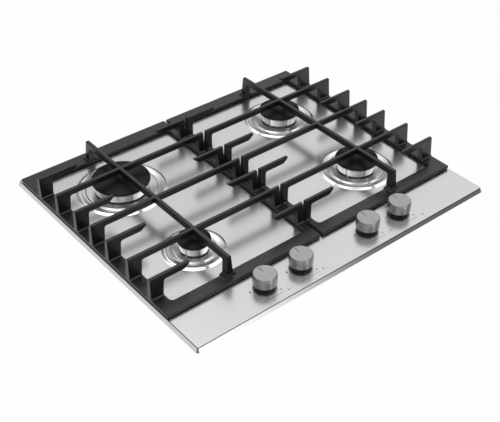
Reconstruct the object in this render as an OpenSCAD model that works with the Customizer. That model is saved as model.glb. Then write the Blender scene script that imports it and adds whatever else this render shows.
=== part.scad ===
// Built-in gas cooktop, 60 cm wide: a pressed steel top plate with a bevelled rim, four burners,
// two cast pan supports, four knobs, and the gas and ignition parts in the box beneath.
// Millimetres. The origin is in the middle of the underside, +X is right, +Y is back, +Z is up.

/* [Top plate] */
// Width over the rim
plate_w = 595; // [585:1:605]
// Depth over the rim
plate_d = 510; // [505:1:520]
// Thickness of the steel sheet
sheet_t = 1; // [0.8:0.1:1.2]
// Height of the bevelled rim
rim_h = 7; // [5:0.5:9]
// How far the rim's face leans outwards
rim_lean = 3.5; // [2:0.5:3.5]
// Corner radius where the rim meets the worktop
corner_r = 5; // [5:0.5:9]
// Width of the rim's folded edge, which sits on the seal
hem_w = 8; // [6:0.5:12]
// Thickness of the foam seal
seal_t = 1; // [0.5:0.1:2]

/* [Box] */
// Distance from the plate's side edges in to the box
box_side_in = 22.5; // [19.5:0.5:25]
// Distance from the plate's front and back edges in to the box
box_end_in = 20; // [18:0.5:22]
// Gap between the gas parts and the box's floor
floor_gap = 3; // [2:0.5:9]
// Thickness of the box's sheet
box_t = 1; // [0.8:0.1:1.2]
// Width of the corner recess for the gas inlet
recess_w = 50; // [46:1:52]
// Depth of the corner recess for the gas inlet
recess_d = 45; // [42:1:46]

/* [Pan supports] */
// Height of the bars' tops above the plate
support_h = 43; // [41:0.5:48]
// Gap between the knobs and the pan supports
knob_clear = 10.7; // [9:0.1:14]
// Gap between the two pan supports
split_gap = 5; // [4:0.5:6]
// Distance from the plate's side edges
side_margin = 4; // [3.5:0.5:6]
// Distance from the plate's back edge
back_margin = 9.5; // [9:0.5:12]
// Gap under the frame, filled by the rubber feet
foot_t = 2; // [1.5:0.5:3]
// Thickness of the frame
frame_t = 5; // [4:0.5:6]
// Width of the frame's outer side bar
side_bar_w = 22; // [20:0.5:24]
// Width of the frame's bar beside the split
split_bar_w = 11; // [9:0.5:12]
// Width of the frame's front bar
front_bar_w = 22; // [20:0.5:24]
// Width of the frame's back bar
back_bar_w = 28; // [24:0.5:30]
// Height of the bars
bar_h = 10; // [8:0.5:12]
// Thickness of a bar at its top
bar_top_t = 6; // [5:0.5:7]
// Thickness of a fin where it meets the frame
fin_base_t = 9.5; // [8:0.5:11]
// Width of an outer fin under its bar
fin_w = 23.5; // [20:0.5:26]
// Draft of the fins' outer faces, bottom to top
fin_draft = 1.1; // [0.5:0.1:2]
// Distance from a burner to the short fingers beside it
finger_pitch = 56; // [52:1:58]
// Reach of the outer fingers from the frame's edge
outer_reach = 71.5; // [60:0.5:74]
// Reach of the inner fingers from the frame's edge
inner_reach = 60; // [50:0.5:66]

/* [Burners] */
// Distance from the plate's side edges to the burners
burner_side = 125.5; // [121.5:0.5:129.5]
// Distance between the front and the rear burners
burner_rows = 203; // [198:1:206]
// How far the burners' middle lies in front of the pan supports' middle
burner_shift = 9.5; // [8:0.5:12]
// Cap radius of the large burner, rear left
cap_large_r = 48.8; // [44:0.2:50]
// Cap radius of the small burner, front left
cap_small_r = 26.6; // [25:0.2:30]
// Cap radius of the two medium burners
cap_medium_r = 36.6; // [34:0.2:38]
// Distance from the large cap's edge out to its pressed ring
ring_large_out = 22.2; // [20:0.2:25]
// Distance from the small cap's edge out to its pressed ring
ring_small_out = 19.4; // [18:0.2:24]
// Distance from the medium caps' edges out to their pressed rings
ring_medium_out = 22.4; // [20:0.2:25]
// Height of the pressed ring's crest
ring_h = 2; // [1:0.1:3]
// Height of the platform inside the ring
platform_h = 1.9; // [1.5:0.1:2.2]
// Height of a burner crown
crown_h = 14.5; // [13:0.5:15]
// Gap between the plate and a crown
crown_gap = 4.5; // [4.2:0.1:5]
// Height of a cap's edge
cap_edge_h = 3.5; // [3:0.1:4]
// Extra height of a cap's middle
cap_dome_h = 1.5; // [0.5:0.1:2]
// Width of a flame slot
slot_w = 1.9; // [1.5:0.1:2.4]
// Depth of a flame slot
slot_h = 2.5; // [2:0.1:3]
// Distance from one flame slot to the next
slot_pitch = 4.6; // [4.2:0.1:6]

/* [Knobs] */
// Radius of a knob
knob_r = 18.8; // [18.4:0.1:20]
// Height of a knob
knob_h = 17.4; // [15:0.2:18]
// Gap between the plate and a knob
knob_gap = 6; // [5:0.5:8]
// How far a knob pushes in
knob_push = 3; // [2:0.5:3]
// Distance from the middle to the inner knobs
knob_inner_x = 70; // [66:1:74]
// Distance from the middle to the outer knobs
knob_outer_x = 140.5; // [138:0.5:146]
// Distance from the plate's front edge to the knobs
knob_front = 45; // [43:1:47]
// Radius of the knob stems
stem_r = 4; // [3.5:0.1:4]

/* [Gas parts] */
// Outer radius of the gas manifold
manifold_r = 8; // [7:0.5:8]
// Wall of the manifold
manifold_wall = 1.5; // [1:0.1:2]
// Radius of a tap's body
tap_r = 11; // [10.5:0.5:12]
// Height of a tap's body
tap_h = 20; // [18:0.5:24]
// Radius of the plug that turns in a tap
plug_r = 7; // [6.5:0.1:7.5]
// Outer radius of the supply pipes
pipe_r = 3; // [2.5:0.1:3]
// Outer radius of the inlet's half-inch thread
inlet_r = 10.48; // [10:0.01:11]
// Length of the inlet's thread
inlet_len = 17; // [14:0.5:18]

/* [Hidden] */
$fn = 96;
burner_names = ["rear_left", "front_left", "rear_right", "front_right"];

// Shared clearances
over = 1;              // how far a cut runs past the face it opens
run_gap = 0.05;        // radial clearance of a turning or sliding fit
loose_gap = 0.5;       // clearance of parts that lift off or move past each other
bend_share = 1.04;     // size of the ball at a rod's bend, against the rod
head_taper_share = 0.75;  // width of a screw head's top, against its underside

// Heights, from the box's floor up through a tap and its switch to the plate
tap_sink = 2;          // how far a tap's saddle lies below the manifold's top
tap_cover_t = 4;
rail_t = 1.2;
switch_h = 5.8;
switch_gap = 2;        // from the switches up to the plate's sheet
manifold_z = box_t + floor_gap + manifold_r;
tap_z = manifold_z + manifold_r - tap_sink;
tap_top = tap_z + tap_h;
rail_z = tap_top + tap_cover_t;
sheet_z = rail_z + rail_t + switch_h + switch_gap;
plate_z = sheet_z + sheet_t;
platform_z = plate_z + platform_h;
rim_z = plate_z - rim_h;
worktop_z = rim_z - seal_t;

// Plan of the box and of the pan supports
box_w = plate_w - 2 * box_side_in;
box_d = plate_d - 2 * box_end_in;
knob_y = -plate_d / 2 + knob_front;
support_front_y = knob_y + knob_r + knob_clear;
support_back_y = plate_d / 2 - back_margin;
support_d = support_back_y - support_front_y;
support_out = plate_w / 2 - side_margin;
support_in = split_gap / 2;

// Burner table, one entry for each name in burner_names
burner_x = plate_w / 2 - burner_side;
burner_mid_y = (support_front_y + support_back_y) / 2 - burner_shift;
burner_front_y = burner_mid_y - burner_rows / 2;
burner_rear_y = burner_mid_y + burner_rows / 2;
burner_pos = [[-burner_x, burner_rear_y], [-burner_x, burner_front_y],
              [burner_x, burner_rear_y], [burner_x, burner_front_y]];
cap_radii = [cap_large_r, cap_small_r, cap_medium_r, cap_medium_r];
ring_radii = [cap_large_r + ring_large_out, cap_small_r + ring_small_out,
              cap_medium_r + ring_medium_out, cap_medium_r + ring_medium_out];

// Knob table: knobs 1 to 4 from the left feed the burners at these places in the burner table
knob_xs = [-knob_outer_x, -knob_inner_x, knob_inner_x, knob_outer_x];
fed_burner = [1, 0, 2, 3];

// Pressed ring, from its outer foot to the platform
foot_run = 6;
trough_run = 9.5;
step_run = 3;
trough_h = 0.2;
sheet_lap = 1;
seal_inset = 1.5;      // from the rim's edge in to the seal

// Burner stack
cap_lip = 1;           // how far a cap reaches past the crown's top
crown_taper = 2.8;     // how much narrower the crown is at its seat
seat_inset = 5;        // how far the cup's neck lies inside the crown's seat
cup_wall = 2.5;
cup_floor = 3;
cup_flange_w = 7;
cup_flange_t = 3;
holder_r = 9;
holder_drop = 12;
cup_bottom_z = box_t + floor_gap + holder_drop;
injector_r = 5;
injector_h = 12;
injector_foot = 3;
cup_way_r = 2.6;       // way up from the pipe to the injector
jet_r = 0.6;
crown_wall = 3;
crown_floor = 2.5;
spigot_h = 5;
spigot_t = 2;
throat_share = 0.36;
throat_t = 2;
throat_h = 9;
lip_h = 3;
lip_t = 2.5;
cap_hollow_h = 1;
cap_bevel = 0.7;
crown_z = plate_z + crown_gap;
cap_z = crown_z + crown_h;
function neck_r(i) = cap_radii[i] - cap_lip - crown_taper - seat_inset;
function crown_top_r(i) = cap_radii[i] - cap_lip;
function crown_seat_r(i) = cap_radii[i] - cap_lip - crown_taper;
screw_inset = 3.2;     // from the neck out to the burner screws
burner_screw_r = 1.4;
burner_screw_len = 4;
burner_head_r = 2.4;
burner_head_h = 1.4;
screw_angle = 20;

// Spark electrodes and flame sensors, in notches at the back of each crown
spark_angle = 62;
sensor_angle = 112;
probe_out = 0.8;       // from the crown's seat out to a probe's axis
spark_r = 2.4;
spark_tip_r = 0.8;
sensor_r = 1.9;
sensor_tip_r = 1.3;
notch_gap = 1.3;
slot_land = 0.8;        // least metal between a flame slot and a notch
probe_hole_gap = 0.3;
probe_below = 18;
probe_collar_t = 2;
probe_collar_w = 1.4;
spark_body_top = 12;
probe_tip_gap = 1.5;

// Knobs
knob_step_h = 5;
knob_step = 0.4;
knob_bevel = 0.9;
knob_wall = 1.7;
knob_cavity_r = knob_r - knob_wall;
knob_cavity_h = 8;
hub_r = 7;
hub_h = 5;
stem_socket = 2;
groove_len = 12;
groove_w = 1.2;
groove_deep = 0.6;
groove_start = 4;
collar_r = knob_cavity_r - loose_gap;
collar_hole_r = 9;
collar_h = 8;

// Taps
tap_floor = 4;
plug_play = 2;
ear_w = 34;
ear_d = 12;
ear_h = 4;
outlet_drop = 7;
outlet_z = tap_top - outlet_drop;
outlet_r = 5;
outlet_len = 5;
gas_way_r = 2;
stem_tail_r = 3;
stem_flat = 2;
stem_tail_len = 8;
socket_end_gap = 1;
plug_socket = stem_tail_len + knob_push + socket_end_gap;
stem_hole_r = 6;
rail_d = 24;
rail_reach = 34.5;     // from the outer knobs to the rail's ends
rail_foot = 12;
switch_w = 24;
switch_d = 16;
switch_hole_gap = 0.6;

// Manifold, inlet and pipes
manifold_end = 12;
manifold_back_gap = 10;  // from the manifold's end to the recess's wall
manifold_run_x = box_w / 2 - recess_w / 2;
manifold_back_y = box_d / 2 - recess_d - manifold_back_gap;
manifold_level = 20;   // length of the manifold's level end at the inlet
elbow_r = 12.5;
inlet_lift = 0.5;      // from the box's underside up to the thread's end
inlet_z = inlet_lift + inlet_len + elbow_r;
barrel_r = 12;
barrel_hole_gap = 0.3;
barrel_lap = 8;        // how far the barrel reaches over the manifold
elbow_y = box_d / 2 - recess_d / 2;
elbow_way_r = 6;
elbow_flange_r = 17;
elbow_flange_t = 3;
pipe_rise = 5;         // from a holder's underside up to its pipe
pipe_drop_z = box_t + floor_gap + pipe_rise;
pipe_straight = 29;
pipe_clear = 62;       // from the burners in to the rear burners' pipes
pipe_side_x = burner_x - pipe_clear;
pipe_ahead = 18.5;
pipe_side_y = burner_front_y + pipe_ahead;
pipe_near = 52;
pipe_in = 5;

// Box, brackets and screws
tab_w = 20;
tab_deep = 12;
tab_side_in = 125;     // from the box's sides in to the tabs at its front
tab_end_in = 105;      // from the box's ends in to the tabs at its sides
tab_rear_in = 155;      // from the box's sides in to the tabs at its back
tab_x = box_w / 2 - tab_side_in;
tab_y = box_d / 2 - tab_end_in;
tab_rear_x = box_w / 2 - tab_rear_in;
tab_screw_drop = 8;
m4_r = 1.9;
m4_hole_r = 2;
m4_head_r = 3.6;
m4_head_h = 2;
m4_len = 8;
bracket_w = 18;
bracket_t = 1.5;
bracket_z = 4;
bracket_h = 22;
bracket_arm = 16;
bracket_end_in = 55;
bracket_recess_gap = 40;
bracket_front_y = -box_d / 2 + bracket_end_in;
bracket_rear_y = box_d / 2 - recess_d - bracket_recess_gap;
bracket_screw_z = 18;
bracket_slot_low = 5;
bracket_slot_high = 4;
grommet_side_in = 75;
grommet_x = -box_w / 2 + grommet_side_in;
grommet_z = 25;
grommet_r = 9;
grommet_neck_r = 7;
grommet_hole_r = 4;
grommet_lip = 1.8;     // length of the narrow bore, which seals round the cord
grommet_back_r = 5.5;
grommet_t = 2;
terminal_w = 40;
terminal_d = 20;
terminal_h = 20;
terminal_end_in = 30;
terminal_y = box_d / 2 - terminal_end_in;
terminal_hole_r = 2.5;
terminal_ways = 3;
terminal_pitch = 11;
generator_w = 62;
generator_d = 40;
generator_h = 25;
generator_y = 40;
generator_pins = 4;
generator_pin_pitch = 12;
generator_pin_r = 2.5;
generator_pin_h = 5;
generator_bevel = 3;

// Pan supports
frame_top = foot_t + frame_t;
bar_z = support_h - bar_h;
frame_edge = 1;
frame_corner_r = 2;
window_r = 6.5;
bar_edge = 1.1;
knee = 2.5;            // cut corner where a bar meets its fin
root_r = 2.6;          // fillet where a fin meets the frame
tip_h = 3;             // height of a finger's blunt end
tip_run = 9.5;         // length of a finger's tapered end
bar_base_t = 11.5;     // thickness of the long bar's posts at the frame
bar_spine_t = 6.8;     // thickness of the long bar at its top
post_setback = 12.5;   // from the frame's front edge to the front post
post_front_t = 13;
post_back_t = 8.5;
post_lean = 2;
collar_out = 2.5;      // how far a post's collar stands out
collar_rise = 3.2;
row_ys = [burner_front_y - finger_pitch, burner_front_y, burner_front_y + finger_pitch,
          burner_mid_y, burner_rear_y - finger_pitch, burner_rear_y, burner_rear_y + finger_pitch];
row_is_long = [false, true, false, true, false, true, false];
pad_w = 8;
pad_len = 26;
pad_inset = 1.5;
pad_corner_r = 2;

// Slab with rounded corners, centred in x and y
module rounded_slab(w, d, r, h) {
    translate([-w / 2 + r, -d / 2, 0]) cube([w - 2 * r, d, h]);
    translate([-w / 2, -d / 2 + r, 0]) cube([w, d - 2 * r, h]);
    for (sx = [-1, 1])
        for (sy = [-1, 1])
            translate([sx * (w / 2 - r), sy * (d / 2 - r), 0]) cylinder(r = r, h = h);
}

// Ring along the plate's edge, between two insets from it
module slab_ring(outer, inner, h) {
    difference() {
        rounded_slab(plate_w - 2 * outer, plate_d - 2 * outer, corner_r - outer, h);
        translate([0, 0, -over])
            rounded_slab(plate_w - 2 * inner, plate_d - 2 * inner, corner_r, h + 2 * over);
    }
}

// Straight tube
module tube(r_out, r_in, h) {
    difference() {
        cylinder(r = r_out, h = h);
        translate([0, 0, -over]) cylinder(r = r_in, h = h + 2 * over);
    }
}

// Turns what stands along +Z at the origin to stand at a and point to b
module along(a, b) {
    v = b - a;
    translate(a) rotate([0, acos(v[2] / norm(v)), atan2(v[1], v[0])]) children();
}

// Rod between two points
module rod(a, b, r) {
    along(a, b) cylinder(r = r, h = norm(b - a));
}

// Rod along a list of points, with a slightly swollen ball at each bend
module bent_rod(pts, r) {
    for (i = [0:len(pts) - 2]) rod(pts[i], pts[i + 1], r);
    for (i = [1:len(pts) - 2]) along(pts[i], pts[i + 1]) sphere(r = r * bend_share);
}

// Prism whose outline lies in the x-z plane, from y = -t/2 to y = t/2
module side_prism(outline, t) {
    translate([0, t / 2, 0]) rotate([90, 0, 0]) linear_extrude(t) polygon(outline);
}

// Prism whose outline lies in the y-z plane, from x = x0 to x = x1
module cross_prism(outline, x0, x1) {
    translate([x0, 0, 0]) rotate([90, 0, 90]) linear_extrude(x1 - x0) polygon(outline);
}

// Points of a cosine slope from p to q in n steps, without p itself
function slope(p, q, n) = [
    for (k = [1:n])
        let (t = k / n) [p[0] + (q[0] - p[0]) * t, p[1] + (q[1] - p[1]) * (1 - cos(180 * t)) / 2]
];

// Top line of the pressed sheet round a burner, from the outer lap to the neck
function ring_line(i) =
    let (
        crest = [ring_radii[i], ring_h],
        foot = [ring_radii[i] + foot_run, 0],
        trough = [ring_radii[i] - trough_run, trough_h],
        step = [ring_radii[i] - trough_run - step_run, platform_h]
    )
    concat([[foot[0] + sheet_lap, 0], foot],
           slope(foot, crest, 8), slope(crest, trough, 10), slope(trough, step, 6),
           [[neck_r(i) + loose_gap, platform_h]]);

module pressed_ring(i) {
    top = ring_line(i);
    n = len(top);
    rotate_extrude()
        polygon(concat(top, [for (k = [1:n]) [top[n - k][0], top[n - k][1] - sheet_t]]));
}

// Bevelled rim in section, measured outwards from the corner's centre
rim_section = [
    [0, rim_h - sheet_t], [0, rim_h], [corner_r - rim_lean, rim_h], [corner_r, 0],
    [corner_r - sheet_t, 0], [corner_r - rim_lean - sheet_t / 2, rim_h - sheet_t]
];

module rim_side(length) {
    rotate([90, 0, 0])
        translate([0, 0, -length / 2]) linear_extrude(length) polygon(rim_section);
}

module rim() {
    cx = plate_w / 2 - corner_r;
    cy = plate_d / 2 - corner_r;
    for (a = [0, 180]) {
        rotate([0, 0, a]) translate([cx, 0, 0]) rim_side(2 * cy);
        rotate([0, 0, a + 90]) translate([cy, 0, 0]) rim_side(2 * cx);
    }
    for (c = [[cx, cy, 0], [-cx, cy, 90], [-cx, -cy, 180], [cx, -cy, 270]])
        translate([c[0], c[1], 0])
            rotate([0, 0, c[2]]) rotate_extrude(angle = 90) polygon(rim_section);
}

// Places of the screws that hold the box, each with its wall's outward direction
box_screw_places = concat(
    [for (sx = [-1, 1]) for (sy = [-1, 1]) [[sx * box_w / 2, sy * tab_y], sx > 0 ? 0 : 180]],
    [for (sx = [-1, 1]) [[sx * tab_x, -box_d / 2], 270]],
    [for (sx = [-1, 1]) [[sx * tab_rear_x, box_d / 2], 90]]
);

module at_box_screws(z) {
    for (p = box_screw_places)
        translate([p[0][0], p[0][1], z]) rotate([0, 0, p[1]]) children();
}

module plate_tab() {
    translate([-box_t - sheet_t, -tab_w / 2, -tab_deep]) cube([sheet_t, tab_w, tab_deep + sheet_t / 2]);
}

module top_plate() {
    color("silver")
    difference() {
        union() {
            difference() {
                translate([-plate_w / 2 + corner_r, -plate_d / 2 + corner_r, sheet_z])
                    cube([plate_w - 2 * corner_r, plate_d - 2 * corner_r, sheet_t]);
                for (i = [0:3])
                    translate([burner_pos[i][0], burner_pos[i][1], sheet_z - over])
                        cylinder(r = ring_radii[i] + foot_run, h = sheet_t + 2 * over);
            }
            for (i = [0:3])
                translate([burner_pos[i][0], burner_pos[i][1], plate_z]) pressed_ring(i);
            translate([0, 0, rim_z]) rim();
            translate([0, 0, rim_z])
                slab_ring(sheet_t / 2, hem_w, sheet_t);
            at_box_screws(sheet_z) plate_tab();
        }
        for (x = knob_xs)
            translate([x, knob_y, sheet_z - over]) cylinder(r = stem_hole_r, h = sheet_t + 2 * over);
        for (i = [0:3])
            at_burner_screws(i)
                translate([0, 0, platform_z - sheet_t - over])
                    cylinder(r = burner_screw_r + run_gap, h = sheet_t + 2 * over);
        for (i = [0:3]) {
            at_probe(i, spark_angle)
                translate([0, 0, platform_z - sheet_t - over])
                    cylinder(r = spark_r + probe_hole_gap, h = sheet_t + 2 * over);
            at_probe(i, sensor_angle)
                translate([0, 0, platform_z - sheet_t - over])
                    cylinder(r = sensor_r + probe_hole_gap, h = sheet_t + 2 * over);
        }
        at_box_screws(sheet_z - tab_screw_drop)
            translate([-box_t - sheet_t - over, 0, 0]) rotate([0, 90, 0])
                cylinder(r = m4_hole_r, h = sheet_t + 2 * over);
    }
}

module worktop_seal() {
    color("dimgray")
    translate([0, 0, worktop_z])
        slab_ring(seal_inset, hem_w, seal_t);
}

// Outline of the box in plan, drawn in by an inset
function box_outline(inset) =
    let (
        w = box_w / 2 - inset,
        d = box_d / 2 - inset,
        rx = box_w / 2 - recess_w - inset,
        ry = box_d / 2 - recess_d - inset
    )
    [[-w, -d], [w, -d], [w, ry], [rx, ry], [rx, d], [-w, d]];

module bottom_box() {
    color("gainsboro")
    difference() {
        linear_extrude(sheet_z) polygon(box_outline(0));
        translate([0, 0, box_t]) linear_extrude(sheet_z) polygon(box_outline(box_t));
        at_box_screws(sheet_z - tab_screw_drop)
            translate([-box_t - over, 0, 0]) rotate([0, 90, 0])
                cylinder(r = m4_hole_r, h = box_t + 2 * over);
        at_brackets(bracket_screw_z)
            translate([-box_t - over, 0, 0]) rotate([0, 90, 0])
                cylinder(r = m4_hole_r, h = box_t + 2 * over);
        translate([grommet_x, box_d / 2 + over, grommet_z]) rotate([90, 0, 0])
            cylinder(r = grommet_neck_r + run_gap, h = box_t + 2 * over);
        translate([manifold_run_x, box_d / 2 - recess_d + over, inlet_z]) rotate([90, 0, 0])
            cylinder(r = barrel_r + barrel_hole_gap, h = box_t + 2 * over);
    }
}

// Screw that points along -X, its head's underside at x = 0
module pan_screw(r, length, head_r, head_h) {
    rotate([0, 90, 0]) {
        translate([0, 0, -length]) cylinder(r = r, h = length);
        cylinder(r1 = head_r, r2 = head_r * head_taper_share, h = head_h);
    }
}

module box_screws() {
    color("darkgray")
    at_box_screws(sheet_z - tab_screw_drop) pan_screw(m4_r, m4_len, m4_head_r, m4_head_h);
}

module at_brackets(z) {
    for (sx = [-1, 1])
        for (y = [bracket_front_y, bracket_rear_y])
            translate([sx * box_w / 2, y, z]) rotate([0, 0, sx > 0 ? 0 : 180]) children();
}

module clamp_brackets() {
    color("gray")
    at_brackets(bracket_z)
        difference() {
            union() {
                translate([0, -bracket_w / 2, 0]) cube([bracket_t, bracket_w, bracket_h]);
                translate([0, -bracket_w / 2, 0]) cube([bracket_arm, bracket_w, bracket_t]);
                translate([bracket_arm - bracket_t, -bracket_w / 2, 0])
                    cube([bracket_t, bracket_w, bracket_t * 2]);
            }
            translate([-over, run_gap - m4_hole_r, bracket_screw_z - bracket_z - bracket_slot_low])
                cube([bracket_t + 2 * over, 2 * (m4_hole_r - run_gap),
                      bracket_slot_low + bracket_slot_high]);
            for (dz = [-bracket_slot_low, bracket_slot_high])
                translate([-over, 0, bracket_screw_z - bracket_z + dz]) rotate([0, 90, 0])
                    cylinder(r = m4_hole_r, h = bracket_t + 2 * over);
        }
}

module bracket_screws() {
    color("darkgray")
    at_brackets(bracket_screw_z)
        translate([bracket_t, 0, 0]) pan_screw(m4_r, m4_len, m4_head_r, m4_head_h);
}

// Gas manifold: under the taps, round the front right corner and back to the inlet
manifold_route = [
    [-knob_outer_x - manifold_end, knob_y, manifold_z], [manifold_run_x, knob_y, manifold_z],
    [manifold_run_x, manifold_back_y - manifold_level, inlet_z],
    [manifold_run_x, manifold_back_y, inlet_z]
];

module gas_manifold() {
    color("gainsboro")
    difference() {
        bent_rod(manifold_route, manifold_r);
        difference() {
            bent_rod(manifold_route, manifold_r - manifold_wall);
            translate(manifold_route[0]) translate([-over, -manifold_r, -manifold_r])
                cube([over + manifold_wall, 2 * manifold_r, 2 * manifold_r]);
        }
        for (x = knob_xs)
            translate([x, knob_y, manifold_z]) cylinder(r = gas_way_r, h = manifold_r + over);
    }
}

module gas_inlet_elbow() {
    run = [manifold_run_x, elbow_y, inlet_z];
    way = [manifold_run_x, manifold_back_y - barrel_lap, inlet_z];
    wall_y = box_d / 2 - recess_d;
    color("darkkhaki")
    difference() {
        union() {
            rod(way, run, barrel_r);
            translate(run) sphere(r = elbow_r);
            translate([run[0], run[1], inlet_z - elbow_r]) cylinder(r = elbow_r, h = elbow_r);
            translate([run[0], run[1], inlet_z - elbow_r - inlet_len])
                cylinder(r = inlet_r, h = inlet_len + over);
            translate([manifold_run_x, wall_y, inlet_z]) rotate([-90, 0, 0])
                cylinder(r = elbow_flange_r, h = elbow_flange_t);
        }
        rod(way - [0, over, 0], [run[0], manifold_back_y, inlet_z], manifold_r + loose_gap);
        rod([run[0], manifold_back_y - over, inlet_z], run, elbow_way_r);
        translate(run) sphere(r = elbow_way_r);
        translate([run[0], run[1], inlet_z - elbow_r - inlet_len - over])
            cylinder(r = elbow_way_r, h = elbow_r + inlet_len + over);
    }
}

module gas_tap(k) {
    x = knob_xs[k];
    color("darkkhaki")
    difference() {
        union() {
            translate([x, knob_y, tap_z]) cylinder(r = tap_r, h = tap_top - tap_z);
            translate([x - ear_w / 2, knob_y - ear_d / 2, tap_top - ear_h]) cube([ear_w, ear_d, ear_h]);
            translate([x, knob_y, outlet_z]) rotate([-90, 0, 0])
                cylinder(r = outlet_r, h = tap_r + outlet_len);
        }
        translate([x, knob_y, tap_z + tap_floor]) cylinder(r = plug_r, h = tap_top - tap_z);
        translate([x, knob_y, tap_z - over]) cylinder(r = gas_way_r, h = tap_floor + 2 * over);
        rod([x - ear_w, knob_y, manifold_z], [x + ear_w, knob_y, manifold_z], manifold_r + run_gap);
        translate([x, knob_y, outlet_z]) rotate([-90, 0, 0]) cylinder(r = gas_way_r, h = tap_r);
        translate([x, knob_y + tap_r, outlet_z]) rotate([-90, 0, 0])
            cylinder(r = pipe_r + run_gap, h = outlet_len + over);
    }
}

module tap_covers() {
    color("gainsboro")
    for (x = knob_xs)
        translate([x, knob_y, tap_top])
            difference() {
                union() {
                    cylinder(r = tap_r, h = tap_cover_t);
                    translate([-ear_w / 2, -ear_d / 2, 0]) cube([ear_w, ear_d, tap_cover_t]);
                }
                translate([0, 0, -over]) cylinder(r = stem_r + run_gap, h = tap_cover_t + 2 * over);
            }
}

// Round bar with a flat, as a stem's tail and its socket in the plug
module flatted(r, flat, h) {
    intersection() {
        cylinder(r = r, h = h);
        translate([-r, -r, 0]) cube([2 * r, r + flat, h]);
    }
}

module tap_plug(k) {
    bottom = tap_z + tap_floor + run_gap;
    h = tap_top - plug_play - bottom;
    color("goldenrod")
    translate([knob_xs[k], knob_y, bottom])
        difference() {
            cylinder(r = plug_r - run_gap, h = h);
            translate([0, 0, h - plug_socket])
                flatted(stem_tail_r + run_gap, stem_flat + run_gap, plug_socket + over);
            translate([0, 0, outlet_z - bottom]) rotate([-90, 0, 0])
                cylinder(r = gas_way_r, h = plug_r);
            translate([0, 0, -over]) cylinder(r = gas_way_r / 2, h = h);
        }
}

module tap_stem(k) {
    plug_top = tap_top - plug_play;
    knob_ceiling = plate_z + knob_gap + knob_cavity_h;
    color("darkgray")
    translate([knob_xs[k], knob_y, 0]) {
        translate([0, 0, plug_top - stem_tail_len])
            flatted(stem_tail_r, stem_flat, stem_tail_len + knob_push + tap_cover_t / 2);
        translate([0, 0, plug_top + knob_push + run_gap])
            cylinder(r = stem_r, h = knob_ceiling + stem_socket - plug_top - knob_push - run_gap);
    }
}

module knob(k) {
    color("gray")
    translate([knob_xs[k], knob_y, plate_z + knob_gap])
        difference() {
            union() {
                rotate_extrude()
                    polygon([
                        [knob_cavity_r, 0], [knob_r, 0],
                        [knob_r, knob_h - knob_step_h],
                        [knob_r - knob_step, knob_h - knob_step_h + knob_step],
                        [knob_r - knob_step, knob_h - knob_bevel],
                        [knob_r - knob_step - knob_bevel, knob_h],
                        [0, knob_h], [0, knob_cavity_h], [knob_cavity_r, knob_cavity_h]
                    ]);
                translate([0, 0, knob_cavity_h - hub_h]) cylinder(r = hub_r, h = hub_h + over);
            }
            translate([0, 0, knob_cavity_h - hub_h - over])
                cylinder(r = stem_r + run_gap, h = hub_h + over + stem_socket + run_gap);
            translate([-groove_w / 2, groove_start, knob_h - groove_deep])
                cube([groove_w, groove_len, groove_deep + over]);
        }
}

module knob_collars() {
    color("black")
    for (x = knob_xs) translate([x, knob_y, plate_z]) tube(collar_r, collar_hole_r, collar_h);
}

module tap_rail() {
    half = knob_outer_x + rail_reach;
    color("gainsboro")
    translate([0, knob_y, rail_z])
        difference() {
            union() {
                translate([-half, -rail_d / 2, 0]) cube([2 * half, rail_d, rail_t]);
                for (sx = [-1, 1])
                    translate([sx * (half - rail_t / 2) - rail_t / 2, -rail_d / 2, 0])
                        cube([rail_t, rail_d, sheet_z - rail_z]);
                for (sx = [-1, 1])
                    translate([sx * (half + rail_foot / 2 - rail_t) - rail_foot / 2, -rail_d / 2,
                               sheet_z - rail_z - rail_t])
                        cube([rail_foot, rail_d, rail_t]);
            }
            for (x = knob_xs) translate([x, 0, -over]) cylinder(r = stem_hole_r, h = rail_t + 2 * over);
        }
}

module ignition_switches() {
    color("ivory")
    for (x = knob_xs)
        translate([x, knob_y, rail_z + rail_t])
            difference() {
                translate([-switch_w / 2, -switch_d / 2, 0]) cube([switch_w, switch_d, switch_h]);
                translate([0, 0, -over])
                    cylinder(r = stem_r + switch_hole_gap, h = switch_h + 2 * over);
            }
}

// Supply pipe from a tap to the holder under its burner's cup
function pipe_route(k) =
    let (
        x = knob_xs[k],
        side = sign(x),
        b = burner_pos[fed_burner[k]],
        start = [x, knob_y + tap_r + run_gap, outlet_z],
        down = [x, knob_y + tap_r + pipe_straight, outlet_z],
        end = [b[0], b[1] - holder_r + pipe_in, pipe_drop_z],
        near = [b[0], b[1] - pipe_near, pipe_drop_z]
    )
    b[1] > burner_mid_y
        ? [start, down, [side * pipe_side_x, pipe_side_y, pipe_drop_z], near, end]
        : [start, down, near, end];

module supply_pipe(k) {
    color("silver") bent_rod(pipe_route(k), pipe_r);
}

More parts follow.
